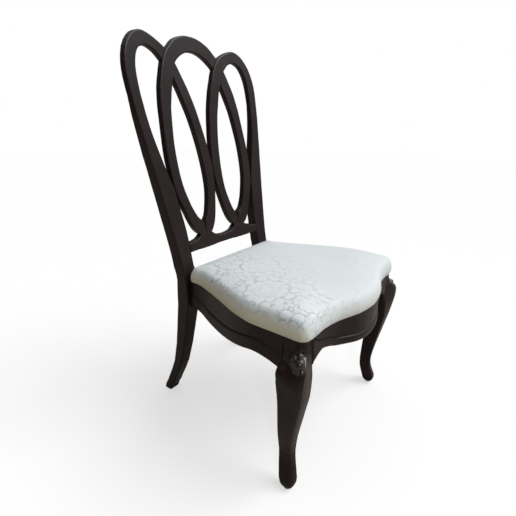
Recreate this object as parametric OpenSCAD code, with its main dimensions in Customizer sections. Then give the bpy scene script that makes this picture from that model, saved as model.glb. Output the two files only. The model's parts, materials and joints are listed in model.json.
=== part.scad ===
// Pretzel back side chair: three interlaced loops, two ovals, cabriole front
// legs, serpentine aprons and an upholstered slip seat.
// Millimetres. The floor is z = 0, the sitter faces -y, x = 0 is the centre.

/* [Chair] */
// Height of the seat rails above the floor
seat_z = 422; // [390:1:460]
// Height of the middle loop's top above the floor
back_top_z = 1092; // [1030:1:1150]
// Width over the side rails at their widest
seat_w = 533; // [500:1:570]
// Depth of the seat from the bow of the front rail to the rear posts
seat_d = 474; // [430:1:520]
// Width over the outer loops of the back
back_w = 507; // [480:1:530]

/* [Back] */
// Lean of the back from upright, in degrees
back_rake = 11.7; // [6:0.1:15]
// Radius of the back's curve in plan
back_plan_r = 2200; // [1400:10:4000]
// Height of the cross rail's lower edge above the seat rails
rail_lift = 75; // [60:1:90]
// Thickness of the loops and strands
strand_t = 19; // [16:0.5:24]
// Rounding of the loops' and posts' edges
edge_r = 4; // [3:0.5:6]
// How far a loop stands forward where it passes over another
over_lift = 1.8; // [0:0.1:4]
// Gap between the lapped halves of two loops
lap_gap = 0.2; // [0.1:0.05:0.5]

/* [Rear legs] */
// Depth of a rear post, front to back, at the seat
post_depth = 47; // [40:0.5:52]
// How far the rear feet sweep back from the posts' front faces
leg_sweep = 118; // [80:1:140]
// How far the stile's front face lies behind the leg's, at the centre line
back_set = 9.9; // [8:0.1:14]

/* [Front legs] */
// Width of the square block at the top of a front leg
leg_block = 43; // [38:0.5:48]
// Bow of the front rail in plan
front_bow = 44; // [30:1:55]

/* [Seat rails] */
// Thickness of the side and front rails
rail_t = 22; // [18:0.5:24]
// Depth of the side rails at their deepest
side_drop = 98; // [90:1:106]
// Depth of the front rail at its middle
front_drop = 83; // [76:1:90]
// Height of the raised border along the side rails' lower edge
side_border = 35; // [28:0.5:38]
// Height of the raised border along the front rail's lower edge
front_border = 22; // [18:0.5:26]
// How far the border stands out from the panel
border_raise = 3; // [1.5:0.1:4]
// Thickness of the back rail of the seat
back_rail_t = 28; // [25:0.5:32]
// Depth of the back rail of the seat
back_rail_h = 58; // [45:1:70]

/* [Slip seat] */
// Height of the cushion's crown above the rails
cushion_h = 57; // [50:1:75]
// Radius over which the cushion turns from side to top
cushion_round = 18; // [12:0.5:24]
// How far the cushion stands out beyond the rails
cushion_over = 3.5; // [2:0.1:6]
// Thickness of the seat board
board_t = 12; // [9:0.5:15]
// Thickness of the cover
cover_t = 1; // [0.8:0.1:1.5]
// Width of the cover that is turned in under the board
cover_lip = 21; // [15:0.5:26]
// Thickness of the dust cover
dust_t = 0.5; // [0.4:0.05:0.8]

/* [Joints] */
// Diameter of the seat rail dowels
rail_dowel_d = 10; // [8:0.5:11]
// Length of the seat rail dowels
rail_dowel_l = 48; // [36:1:56]
// Diameter of the dowels in the back
back_dowel_d = 8; // [6:0.5:9]
// Length of the dowels in the back
back_dowel_l = 36; // [28:1:40]
// Diameter of the dowels under the ovals
foot_dowel_d = 6; // [5:0.5:7]
// Length of the dowels under the ovals
foot_dowel_l = 22; // [16:1:26]
// Room round a dowel or a screw in its bore, on the radius
bore_fit = 0.05; // [0.03:0.01:0.1]
// Room past the end of a dowel
end_room = 1; // [0.5:0.1:2]
// Gap between wooden faces that meet
wood_gap = 0.1; // [0.05:0.05:0.3]
// Gap between soft pieces and what they lie on
soft_gap = 0.3; // [0.2:0.05:0.5]

/* [Blocks and fasteners] */
// Height of the corner blocks
block_h = 38; // [30:1:42]
// Depth of the blocks' tops below the rails' tops
block_down = 6; // [4:0.5:10]
// Length of a front block along the side rail
block_side = 60; // [50:1:66]
// Length of a front block along the front rail
block_front = 60; // [50:1:66]
// Length of a rear block along the side rail
block_rear = 55; // [48:1:62]
// Length of a rear block along the back rail
block_back = 56; // [48:1:64]
// Diameter of the screws
screw_d = 4.5; // [4:0.1:5]
// Diameter of the screw heads
screw_head_d = 8.5; // [8:0.1:9.5]
// Thickness of the screw heads
screw_head_t = 3; // [2:0.1:4]
// Length of the block screws that enters the rail
screw_bite = 11; // [8:0.5:13]
// Diameter of the foot glides
glide_d = 18; // [14:0.5:20]
// Thickness of the foot glides
glide_t = 3; // [2:0.5:4]
// Diameter of the glides' nails
nail_d = 2.5; // [2:0.1:3]
// Length of the glides' nails
nail_l = 16; // [12:0.5:20]

/* [View] */
// Piece to draw

/* [Hidden] */

ebony = [0.13, 0.09, 0.09];
bare_wood = [0.72, 0.56, 0.38];
damask = [0.86, 0.86, 0.83];
foam_tone = [0.93, 0.88, 0.68];
cambric = [0.12, 0.12, 0.12];
steel = [0.62, 0.62, 0.60];

$fn = 40;

// Steps of each rounded corner, and spans between the chosen rows
corner_n = 2;
arch_n = 2;
strand_n = 2;
post_n = 2;
leg_n = 2;
rail_n = 3;
leg_corner_n = 3;

// The back: widths are shares of half the back's width, heights are shares of
// the height from the cross rail's lower edge to the middle loop's top.
back_half = back_w / 2;
rail_z = seat_z + rail_lift;
back_h = back_top_z - rail_z;

// Rows: outer edge x and z, inner edge x and z, how far the loop has gone over
// or under its neighbour, and the rounding
outer_arch_shares = [
    [0.992, 0.708, 0.866, 0.708, 0, 1],
    [1.000, 0.774, 0.868, 0.769, 0, 1],
    [0.988, 0.835, 0.857, 0.824, 0, 1],
    [0.938, 0.898, 0.822, 0.870, 0, 1],
    [0.857, 0.944, 0.775, 0.898, 0, 1],
    [0.775, 0.967, 0.725, 0.909, 0, 1],
    [0.686, 0.975, 0.674, 0.914, 0, 1],
    [0.589, 0.965, 0.612, 0.908, 0.15, 1],
    [0.488, 0.946, 0.550, 0.895, 0.55, 1],
    [0.403, 0.924, 0.488, 0.871, 1, 1],
    [0.333, 0.893, 0.438, 0.848, 1, 1],
    [0.279, 0.855, 0.399, 0.822, 1, 1],
    [0.236, 0.815, 0.360, 0.787, 1, 1],
    [0.182, 0.761, 0.314, 0.736, 0.45, 1],
    [0.143, 0.712, 0.283, 0.692, 0, 1]
];

middle_arch_shares = [
    [0.000, 1.000, 0.000, 0.928, 0, 1],
    [0.085, 0.998, 0.058, 0.926, 0, 1],
    [0.174, 0.988, 0.120, 0.919, 0.2, 1],
    [0.271, 0.969, 0.186, 0.906, 0.6, 1],
    [0.341, 0.944, 0.233, 0.893, 1, 1],
    [0.415, 0.914, 0.291, 0.873, 1, 1],
    [0.481, 0.871, 0.337, 0.843, 1, 1],
    [0.539, 0.815, 0.380, 0.796, 1, 1],
    [0.593, 0.750, 0.434, 0.733, 0.5, 1],
    [0.628, 0.672, 0.484, 0.662, 0, 1]
];

inner_strand_shares = [
    [0.143, 0.712, 0.283, 0.692, 0, 1],
    [0.105, 0.659, 0.244, 0.644, 0, 1],
    [0.068, 0.588, 0.207, 0.580, 0, 1],
    [0.033, 0.511, 0.176, 0.507, 0, 1],
    [0.012, 0.445, 0.159, 0.445, 0, 1],
    [0.001, 0.379, 0.149, 0.379, 0, 1],
    [0.012, 0.305, 0.151, 0.305, 0, 1],
    [0.037, 0.244, 0.171, 0.247, 0, 1],
    [0.078, 0.170, 0.219, 0.181, 0, 1],
    [0.120, 0.120, 0.248, 0.152, 0, 0.8],
    [0.167, 0.089, 0.283, 0.132, 0, 0.5],
    [0.194, 0.077, 0.295, 0.104, 0, 0.3],
    [0.217, 0.069, 0.302, 0.069, 0, 0.2]
];

outer_strand_shares = [
    [0.628, 0.672, 0.484, 0.662, 0, 1],
    [0.651, 0.585, 0.516, 0.580, 0, 1],
    [0.671, 0.506, 0.539, 0.504, 0, 1],
    [0.682, 0.433, 0.545, 0.430, 0, 1],
    [0.676, 0.362, 0.539, 0.357, 0, 1],
    [0.663, 0.300, 0.519, 0.301, 0, 1],
    [0.627, 0.247, 0.488, 0.255, 0, 1],
    [0.574, 0.192, 0.453, 0.211, 0, 1],
    [0.511, 0.124, 0.388, 0.157, 0, 0.8],
    [0.455, 0.089, 0.326, 0.135, 0, 0.5],
    [0.413, 0.073, 0.308, 0.110, 0, 0.3],
    [0.388, 0.069, 0.304, 0.069, 0, 0.2]
];

// Rows: x, height of the upper edge, rounding
cross_rail_shares = [
    [0.608, 0.046, 1],
    [0.540, 0.049, 1],
    [0.475, 0.053, 1],
    [0.425, 0.061, 0.5],
    [0.392, 0.069, 0.2],
    [0.302, 0.069, 0.2],
    [0.213, 0.069, 0.2],
    [0.184, 0.061, 0.5],
    [0.147, 0.051, 1],
    [0.097, 0.045, 1],
    [0.047, 0.042, 1],
    [0.000, 0.041, 1]
];

// Rows of the rear leg: height as a share of the seat's, outer and inner x,
// sweep and depth
post_leg_shares = [
    [0.007, 0.812, 0.672, 0.895, 0.625],
    [0.045, 0.804, 0.664, 0.850, 0.660],
    [0.128, 0.794, 0.652, 0.700, 0.670],
    [0.295, 0.785, 0.638, 0.425, 0.720],
    [0.465, 0.783, 0.626, 0.255, 0.795],
    [0.605, 0.783, 0.616, 0.148, 0.875],
    [0.721, 0.783, 0.608, 0.067, 0.938],
    [0.802, 0.783, 0.603, 0.005, 0.987],
    [0.860, 0.783, 0.603, 0.000, 0.990],
    [0.930, 0.785, 0.605, 0.000, 0.940],
    [1.000, 0.787, 0.606, 0.000, 0.885]
];

// Rows of the stile: height as a share of the back's, outer and inner x, depth
post_stile_shares = [
    [-0.058, 0.793, 0.608, 0.795],
    [0.000, 0.799, 0.608, 0.770],
    [0.074, 0.817, 0.608, 0.735],
    [0.140, 0.835, 0.618, 0.713],
    [0.189, 0.849, 0.633, 0.708],
    [0.247, 0.864, 0.652, 0.688],
    [0.300, 0.880, 0.665, 0.667],
    [0.354, 0.897, 0.702, 0.646],
    [0.407, 0.911, 0.736, 0.625],
    [0.461, 0.930, 0.769, 0.604],
    [0.544, 0.953, 0.816, 0.555],
    [0.621, 0.977, 0.846, 0.485],
    [0.667, 0.986, 0.856, 0.435],
    [0.708, 0.992, 0.866, 0.402]
];

// The side rail in plan: distance from the post as a share of the seat's
// depth, and how far it has swelled from the post to the widest line
side_plan_shares = [
    [0.000, 0.000],
    [0.064, 0.006],
    [0.106, 0.036],
    [0.188, 0.185],
    [0.284, 0.385],
    [0.375, 0.590],
    [0.470, 0.800],
    [0.540, 0.915],
    [0.602, 0.988],
    [0.685, 1.000],
    [0.797, 0.994]
];
// Where the side rail leaves the post, as a share of half the back's width
side_start_share = 0.729;

// The front rail in plan: x as a share of half its length, and its bow
front_plan_shares = [
    [1.000, 0.000],
    [0.837, 0.044],
    [0.700, 0.135],
    [0.573, 0.285],
    [0.463, 0.485],
    [0.308, 0.778],
    [0.154, 0.944],
    [0.000, 1.000]
];

// Lower edges: place along the rail, and drop below its top
side_drop_shares = [
    [0.000, 0.810],
    [0.065, 0.855],
    [0.195, 0.992],
    [0.340, 1.035],
    [0.470, 0.990],
    [0.579, 0.905],
    [0.673, 0.823],
    [0.761, 0.733],
    [0.821, 0.735],
    [0.886, 0.770],
    [0.953, 0.840],
    [1.000, 0.920]
];
front_drop_shares = [
    [0.000, 1.000],
    [0.220, 0.976],
    [0.383, 0.918],
    [0.581, 0.824],
    [0.692, 0.720],
    [0.837, 0.625],
    [0.903, 0.690],
    [0.952, 0.765],
    [1.000, 0.840]
];

// The front rail's raised border turns up beside the legs: place along the
// rail, and height as a share of its height in the middle
front_border_shares = [
    [0.000, 1.00],
    [0.720, 1.00],
    [0.840, 1.10],
    [0.905, 1.50],
    [0.955, 2.20],
    [1.000, 2.75]
];

// The front leg: height as a share of the seat's, then from the block's outer
// corner, as shares of the block's width: inner x, rear outer x, rear y,
// outer corner x and y, front y; then the rounding of the rear and inner corners
front_leg_shares = [
    [1.000, -1.011, -0.011, 1.205, 0.011, 0.011, 0.000, 0.06],
    [0.935, -1.011, -0.011, 1.205, 0.110, -0.060, 0.000, 0.06],
    [0.905, -1.011, 0.000, 1.205, 0.440, -0.380, 0.020, 0.06],
    [0.880, -1.011, 0.040, 1.205, 0.710, -0.580, 0.030, 0.06],
    [0.850, -1.011, 0.110, 1.205, 0.900, -0.620, 0.020, 0.06],
    [0.815, -0.970, 0.400, 1.205, 0.950, -0.600, -0.030, 0.06],
    [0.785, -0.930, 0.580, 1.205, 0.930, -0.560, -0.090, 0.06],
    [0.756, -0.870, 0.560, 1.290, 0.890, -0.500, -0.140, 0.08],
    [0.656, -0.761, 0.470, 1.240, 0.670, -0.290, -0.150, 0.10],
    [0.584, -0.716, 0.420, 1.230, 0.550, -0.120, -0.030, 0.12],
    [0.481, -0.670, 0.320, 1.265, 0.400, 0.110, 0.145, 0.14],
    [0.365, -0.640, 0.140, 1.320, 0.180, 0.380, 0.360, 0.14],
    [0.242, -0.700, -0.110, 1.350, -0.092, 0.580, 0.500, 0.14],
    [0.153, -0.680, -0.060, 1.310, -0.040, 0.489, 0.430, 0.14],
    [0.068, -0.520, 0.175, 1.135, 0.205, 0.225, 0.210, 0.16],
    [0.030, -0.450, 0.175, 1.050, 0.195, 0.250, 0.250, 0.20],
    [0.007, -0.360, 0.080, 0.920, 0.080, 0.420, 0.400, 0.28]
];
// Rounding of the leg's outer corner
leg_nose_share = 0.42;

// The cushion's side: height, and how far it stands out of the rails' line
cushion_side_shares = [
    [0.00, -0.10],
    [0.12, -0.02],
    [0.34, 0.00],
    [0.54, -0.08],
    [0.70, -0.34],
    [0.80, -0.78],
    [0.86, -1.35]
];
// The crown: width of the ring, and height
cushion_crown_shares = [
    [0.83, 0.915],
    [0.60, 0.965],
    [0.32, 0.992]
];
// Rounded front corner of the seat, from the block's outer corner
seat_corner_shares = [
    [-0.010, 0.600],
    [-0.060, 0.200],
    [-0.260, -0.010],
    [-0.700, -0.060]
];

// Places worked out from the sizes above
back_rise = tan(back_rake);
strand_y = strand_t / cos(back_rake);
over_y = over_lift / cos(back_rake);
back_reach = back_set + back_rise * (back_top_z - edge_r - seat_z) + strand_y;
post_face_y = (seat_d + cushion_over - back_reach) / 2;
post_in_x = post_stile_shares[0][2] * back_half;
seat_half = seat_w / 2;
block_y = post_face_y - seat_d + front_bow;
block_rear_y = block_y + front_leg_shares[0][3] * leg_block;
block_in_x = seat_half + front_leg_shares[0][1] * leg_block;
side_start_x = side_start_share * back_half;
block_top_z = seat_z - block_down;
block_mid_z = block_top_z - block_h / 2;

function lerp(a, b, t) = a + (b - a) * t;
function unit2(v) = v / norm(v);

// A smooth value through four chosen ones
function glide(a, b, c, d, t) =
    (2 * b + (c - a) * t + (2 * a - 5 * b + 4 * c - d) * t * t
    + (3 * b - a - 3 * c + d) * t * t * t) / 2;

// Rows with n spans between the chosen ones: the first "soft" columns follow a
// smooth curve and the others run straight. Equal neighbours stay level
function fair(rows, n, soft) = [
    for (i = [0:len(rows) - 2])
        for (k = [0:n - 1])
            fair_row(rows[max(i - 1, 0)], rows[i], rows[i + 1],
                rows[min(i + 2, len(rows) - 1)], k / n, soft),
    rows[len(rows) - 1]
];
function fair_row(a, b, c, d, t, soft) = [
    for (j = [0:len(b) - 1])
        j < soft && b[j] != c[j] ? glide(a[j], b[j], c[j], d[j], t) : lerp(b[j], c[j], t)
];

// Front surface of the back
function back_y(x, z) =
    post_face_y + back_set + back_rise * (z - seat_z) - x * x / (2 * back_plan_r);
function back_point(x, z, deep) = [x * (1 + deep / back_plan_r), back_y(x, z) + deep, z];

// A rectangle with rounded corners, u from 0 to w, v from v0 to v1
function round_box(w, v0, v1, r) = [
    for (c = [0:3])
        for (k = [0:corner_n])
            let (a = 180 + 90 * c + 90 * k / corner_n)
            [(c == 0 || c == 3 ? r : w - r) + r * cos(a),
            (c < 2 ? v0 + r : v1 - r) + r * sin(a)]
];

// One section of a loop or a post. Row: outer x, z, inner x, z, front, back,
// rounding, and 1 where the front face follows the curved back
function section(row) =
    let (a = [row[0], row[1]], b = [row[2], row[3]])
    let (w = norm(b - a), e = unit2(b - a))
    [
        for (p = round_box(w, row[4], row[5], row[6]))
            let (q = a + e * p[0])
            [
                q[0] * (1 + row[7] * p[1] / back_plan_r),
                lerp(post_face_y, back_y(q[0], q[1]), row[7]) + p[1],
                q[1]
            ]
    ];

// Skin over a list of rings, closed by a fan at each end
module loft(rings, flip = false) {
    n = len(rings[0]);
    m = len(rings);
    sides = [
        for (i = [0:m - 2])
            for (j = [0:n - 1])
                let (a = i * n + j, b = i * n + (j + 1) % n)
                each [[a, b, b + n], [a, b + n, a + n]]
    ];
    ends = [
        for (j = [1:n - 2])
            each [[0, j + 1, j], [(m - 1) * n, (m - 1) * n + j, (m - 1) * n + j + 1]]
    ];
    faces = concat(sides, ends);
    polyhedron(
        points = [for (r = rings) each r],
        faces = flip ? [for (f = faces) [f[2], f[1], f[0]]] : faces
    );
}

// Skin over rings, closed by a point at each end
module pole_loft(first, rings, last, flip = false) {
    n = len(rings[0]);
    m = len(rings);
    sides = [
        for (i = [0:m - 2])
            for (j = [0:n - 1])
                let (a = i * n + j, b = i * n + (j + 1) % n)
                each [[a, b, b + n], [a, b + n, a + n]]
    ];
    ends = [
        for (j = [0:n - 1])
            let (k = (j + 1) % n)
            each [[m * n, k, j], [m * n + 1, (m - 1) * n + j, (m - 1) * n + k]]
    ];
    faces = concat(sides, ends);
    polyhedron(
        points = concat([for (r = rings) each r], [first, last]),
        faces = flip ? [for (f = faces) [f[2], f[1], f[0]]] : faces
    );
}

// A round bar between two points
module rod(p, q, d) {
    v = q - p;
    translate(p)
        rotate([0, acos(v[2] / norm(v)), atan2(v[1], v[0])])
            cylinder(d = d, h = norm(v));
}

module both_sides() {
    children();
    mirror([1, 0, 0]) children();
}

// Loops and strands: a loop stands forward where it goes over its neighbour
// (way 1) and back where it goes under (way -1)
function back_rows(shares, n, way) = [
    for (r = fair(shares, n, 4))
        [
            r[0] * back_half, rail_z + r[1] * back_h,
            r[2] * back_half, rail_z + r[3] * back_h,
            -way * over_y * r[4], strand_y - way * over_y * r[4], edge_r * r[5], 1
        ]
];

// Rows of the middle and of the outer loop between which they cross
lap_rows = [2, 9, 7, 14];

// Room for the neighbour in a lap joint: its outline between two rows, cut in
// to half the thickness from the front (1) or from the back (-1)
module lap(shares, first, last, way) {
    rows = [for (i = [first:last]) shares[i]];
    loft([
        for (r = fair(rows, arch_n, 4))
            let (
                a = [r[0] * back_half, rail_z + r[1] * back_h],
                b = [r[2] * back_half, rail_z + r[3] * back_h],
                e = unit2(b - a) * lap_gap
            )
            section([
                a[0] - e[0], a[1] - e[1], b[0] + e[0], b[1] + e[1],
                way > 0 ? -strand_y : strand_y / 2,
                way > 0 ? strand_y / 2 + lap_gap : 2 * strand_y,
                lap_gap, 1
            ])
    ], flip = shares[first][0] < shares[last][0]);
}
function mirror_row(r) = [-r[0], r[1], -r[2], r[3], r[4], r[5], r[6], r[7]];
function reversed(list) = [for (i = [len(list) - 1:-1:0]) list[i]];
function tail(list) = [for (i = [1:len(list) - 1]) list[i]];

// Middle of a section, at half its thickness
function mid(shares) =
    let (x = (shares[0] + shares[2]) / 2 * back_half)
    let (z = rail_z + (shares[1] + shares[3]) / 2 * back_h)
    back_point(x, z, strand_y / 2);

// A dowel across the joint at row i, along the line of its neighbours
function joint_axis(before, at, after) = (mid(after) - mid(before)) / norm(mid(after) - mid(before));

module joint_dowel(before, at, after, d, l) {
    a = joint_axis(before, at, after);
    rod(mid(at) - a * l / 2, mid(at) + a * l / 2, d);
}

function outer_joint() = [
    outer_arch_shares[len(outer_arch_shares) - 2],
    inner_strand_shares[0],
    inner_strand_shares[1]
];
function middle_joint() = [
    middle_arch_shares[len(middle_arch_shares) - 2],
    outer_strand_shares[0],
    outer_strand_shares[1]
];
function stile_joint() = [
    outer_arch_shares[0],
    outer_arch_shares[0],
    outer_arch_shares[1]
];

module three_row_dowel(j, d, l) {
    joint_dowel(j[0], j[1], j[2], d, l);
}

module joint_bore(j) {
    three_row_dowel(j, back_dowel_d + 2 * bore_fit, back_dowel_l + 2 * end_room);
}

// Place of the dowels under an oval, between the strands' feet and the rail
foot_z = rail_z + inner_strand_shares[len(inner_strand_shares) - 1][1] * back_h;
foot_dowel_shares = [0.345, 0.260];
foot_xs = foot_dowel_shares * back_half;

module foot_dowel(x, d, l) {
    rod(back_point(x, foot_z - l / 2, strand_y / 2), back_point(x, foot_z + l / 2, strand_y / 2), d);
}

module foot_bores() {
    for (x = foot_xs)
        foot_dowel(x, foot_dowel_d + 2 * bore_fit, foot_dowel_l + 2 * end_room);
}

// Outer loop's arch on the +x side; way is 1 over or -1 under
module outer_arch(way) {
    difference() {
        loft([for (r = back_rows(outer_arch_shares, arch_n, way)) section(r)]);
        lap(middle_arch_shares, lap_rows[0], lap_rows[1], -way);
        joint_bore(stile_joint());
        joint_bore(outer_joint());
    }
}

module crest_left_arch() {
    color(ebony)
        mirror([1, 0, 0])
            outer_arch(-1);
}

module crest_right_arch() {
    color(ebony)
        outer_arch(1);
}

module crest_middle_arch() {
    left = [for (r = reversed(back_rows(middle_arch_shares, arch_n, 1))) mirror_row(r)];
    right = tail(back_rows(middle_arch_shares, arch_n, -1));
    color(ebony)
        difference() {
            loft([for (r = concat(left, right)) section(r)], flip = true);
            mirror([1, 0, 0])
                lap(outer_arch_shares, lap_rows[2], lap_rows[3], -1);
            lap(outer_arch_shares, lap_rows[2], lap_rows[3], 1);
            both_sides()
                joint_bore(middle_joint());
        }
}

module inner_strand() {
    difference() {
        loft([for (r = back_rows(inner_strand_shares, strand_n, 0)) section(r)]);
        joint_bore(outer_joint());
        foot_bores();
    }
}

module outer_strand() {
    difference() {
        loft([for (r = back_rows(outer_strand_shares, strand_n, 0)) section(r)]);
        joint_bore(middle_joint());
        foot_bores();
    }
}

module strand_right_outer() {
    color(ebony)
        outer_strand();
}

module strand_left_outer() {
    color(ebony)
        mirror([1, 0, 0])
            outer_strand();
}

module strand_right_inner() {
    color(ebony)
        inner_strand();
}

module strand_left_inner() {
    color(ebony)
        mirror([1, 0, 0])
            inner_strand();
}

// Cross rail of the back
rail_end_x = post_in_x - wood_gap;
rail_mid_share = 0.023;
rail_mid_z = rail_z + rail_mid_share * back_h;

module end_dowel(d, l) {
    rod(back_point(post_in_x - l / 2, rail_mid_z, strand_y / 2),
        back_point(post_in_x + l / 2, rail_mid_z, strand_y / 2), d);
}

module back_cross_rail() {
    half = [
        for (r = fair(cross_rail_shares, strand_n, 2))
            [r[0] * back_half, rail_z + r[1] * back_h, r[2]]
    ];
    ends = concat([[rail_end_x, half[0][1], half[0][2]]], tail(half));
    all = concat(ends, [for (r = tail(reversed(ends))) [-r[0], r[1], r[2]]]);
    color(ebony)
        difference() {
            loft([
                for (r = all)
                    section([r[0], r[1], r[0], rail_z, 0, strand_y, edge_r * r[2], 1])
            ]);
            both_sides() {
                foot_bores();
                end_dowel(back_dowel_d + 2 * bore_fit, back_dowel_l + 2 * end_room);
            }
        }
}

// Rear post: sabre leg and stile in one
function leg_row(r) = [
    r[1] * back_half, r[0] * seat_z, r[2] * back_half, r[0] * seat_z,
    r[3] * leg_sweep, r[3] * leg_sweep + r[4] * post_depth, edge_r, 0
];
function stile_row(r) = [
    r[1] * back_half, rail_z + r[0] * back_h, r[2] * back_half, rail_z + r[0] * back_h,
    0, r[3] * post_depth, edge_r, 1
];
post_rows = concat(
    [for (r = post_leg_shares) leg_row(r)],
    [for (r = post_stile_shares) stile_row(r)]
);
post_foot = post_leg_shares[0];
post_foot_x = (post_foot[1] + post_foot[2]) / 2 * back_half;
post_foot_y = post_face_y + post_foot[3] * leg_sweep + post_foot[4] * post_depth / 2;
post_foot_z = post_foot[0] * seat_z;

// Seat rail dowels, one above the other. Drops below the rails' tops are
// shares of the back rail's depth. The back rail's face and its dowels lie at
// shares of its thickness behind the posts' faces
post_dowel_shares = [0.27, 0.97];
leg_dowel_shares = [0.27, 0.69];
back_dowel_shares = [0.52, 0.76];
side_dowel_rear_x = side_start_x - rail_t / 2;
side_dowel_front_x = seat_half - rail_t / 2;
front_dowel_y = block_y + rail_t / 2;
back_rail_shares = [-0.3, 0.4];
back_rail_y = post_face_y + back_rail_shares[0] * back_rail_t;
back_dowel_y = post_face_y + back_rail_shares[1] * back_rail_t;

module rail_dowel(p, drops, way, d, l) {
    for (s = drops)
        let (q = [p[0], p[1], seat_z - s * back_rail_h])
        rod(q - way * l / 2, q + way * l / 2, d);
}

module side_rear_dowels(d, l) {
    rail_dowel([side_dowel_rear_x, post_face_y], post_dowel_shares, [0, 1, 0], d, l);
}

module side_front_dowels(d, l) {
    rail_dowel([side_dowel_front_x, block_rear_y], leg_dowel_shares, [0, 1, 0], d, l);
}

module front_dowels(d, l) {
    rail_dowel([block_in_x, front_dowel_y], leg_dowel_shares, [1, 0, 0], d, l);
}

module back_rail_dowels(d, l) {
    rail_dowel([post_in_x, back_dowel_y], back_dowel_shares, [1, 0, 0], d, l);
}

bore_d = rail_dowel_d + 2 * bore_fit;
bore_l = rail_dowel_l + 2 * end_room;

module rear_post() {
    difference() {
        loft([for (r = fair(post_rows, post_n, 4)) section(r)], flip = true);
        side_rear_dowels(bore_d, bore_l);
        back_rail_dowels(bore_d, bore_l);
        end_dowel(back_dowel_d + 2 * bore_fit, back_dowel_l + 2 * end_room);
        joint_bore(stile_joint());
        translate([post_foot_x, post_foot_y, 0])
            cylinder(d = nail_d + 2 * bore_fit, h = post_foot_z + nail_l + end_room);
    }
}

module rear_post_right() {
    color(ebony)
        rear_post();
}

module rear_post_left() {
    color(ebony)
        mirror([1, 0, 0])
            rear_post();
}

// Seat rails
side_plan = fair([
    for (r = side_plan_shares)
        [lerp(side_start_x, seat_half, r[1]), post_face_y - r[0] * seat_d]
], rail_n, 2);
side_length = side_plan_shares[len(side_plan_shares) - 1][0] * seat_d;
side_drops = fair(side_drop_shares, rail_n, 2);
front_half = block_in_x;
front_plan = fair([
    for (r = front_plan_shares)
        [r[0] * front_half, block_y - r[1] * front_bow]
], rail_n, 2);
front_drops = fair(front_drop_shares, rail_n, 2);
front_borders = fair(front_border_shares, rail_n, 2);

// Outward normal of a plan line at point i, square to the ends
function plan_normal(line, i, end) =
    i == 0 || i == len(line) - 1 ? end :
    let (t = unit2(line[i + 1] - line[i - 1])) [-t[1], t[0]];

// Moulded section of a rail: distance out of the plan line, drop below the top
function rail_profile(drop, border) = [
    [-0.5 * border_raise, 0],
    [0, 0.5 * border_raise],
    [0, drop - border - border_raise],
    [-0.6 * border_raise, drop - border - 0.4 * border_raise],
    [0.7 * border_raise, drop - border + 0.5 * border_raise],
    [border_raise, drop - border + 2 * border_raise],
    [border_raise, drop - 2.5 * border_raise],
    [0.5 * border_raise, drop - 0.8 * border_raise],
    [-0.7 * border_raise, drop],
    [-rail_t + 0.7 * border_raise, drop],
    [-rail_t, drop - border_raise],
    [-rail_t, 0.5 * border_raise],
    [-rail_t + 0.5 * border_raise, 0]
];

function rail_ring(p, n, drop, border) = [
    for (q = rail_profile(drop, border))
        [p[0] + n[0] * q[0], p[1] + n[1] * q[0], seat_z - q[1]]
];

module side_rail() {
    last = len(side_plan) - 1;
    stations = [
        for (i = [0:last])
            [
                side_plan[i][0],
                i == 0 ? post_face_y - wood_gap : i == last ? block_rear_y + wood_gap : side_plan[i][1]
            ]
    ];
    difference() {
        loft([
            for (i = [0:last])
                rail_ring(stations[i], plan_normal(side_plan, i, [1, 0]),
                    side_drop * lookup((post_face_y - stations[i][1]) / side_length, side_drops),
                    side_border)
        ], flip = true);
        side_rear_dowels(bore_d, bore_l);
        side_front_dowels(bore_d, bore_l);
        block_side_screw(screw_d + 2 * bore_fit, end_room);
        rear_side_screw(screw_d + 2 * bore_fit, end_room);
    }
}

module side_rail_right() {
    color(ebony)
        side_rail();
}

module side_rail_left() {
    color(ebony)
        mirror([1, 0, 0])
            side_rail();
}

module front_rail() {
    half = concat([[front_half - wood_gap, front_plan[0][1]]], tail(front_plan));
    line = concat(half, [for (p = tail(reversed(half))) [-p[0], p[1]]]);
    color(ebony)
        difference() {
            loft([
                for (i = [0:len(line) - 1])
                    let (
                        share = abs(line[i][0]) / front_half,
                        drop = front_drop * lookup(share, front_drops),
                        border = front_border * lookup(share, front_borders)
                    )
                    rail_ring(line[i], plan_normal(line, i, [0, -1]), drop,
                        min(border, drop - 3 * border_raise))
            ], flip = true);
            both_sides() {
                front_dowels(bore_d, bore_l);
                block_front_screw(screw_d + 2 * bore_fit, end_room);
            }
        }
}

module seat_back_rail() {
    color(ebony)
        difference() {
            translate([-rail_end_x, back_rail_y, seat_z - back_rail_h])
                cube([2 * rail_end_x, back_rail_t, back_rail_h]);
            both_sides() {
                back_rail_dowels(bore_d, bore_l);
                rear_back_screw(screw_d + 2 * bore_fit, end_room);
            }
        }
}

// Cabriole leg on the +x side
function soft_corner(a, p, b, r) = [
    for (k = [0:leg_corner_n])
        let (t = k / leg_corner_n, s = p + (a - p) * r, e = p + (b - p) * r)
        s * (1 - t) * (1 - t) + p * 2 * t * (1 - t) + e * t * t
];
function leg_ring(r) =
    let (
        x = seat_half,
        y = block_y,
        c = [
            [x + r[1] * leg_block, y + r[3] * leg_block],
            [x + r[2] * leg_block, y + r[3] * leg_block],
            [x + r[4] * leg_block, y + r[5] * leg_block],
            [x + r[1] * leg_block, y + r[6] * leg_block]
        ]
    )
    [
        for (i = [0:3])
            for (q = soft_corner(c[(i + 3) % 4], c[i], c[(i + 1) % 4], i == 2 ? leg_nose_share : r[7]))
                [q[0], q[1], r[0] * seat_z]
    ];

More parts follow.
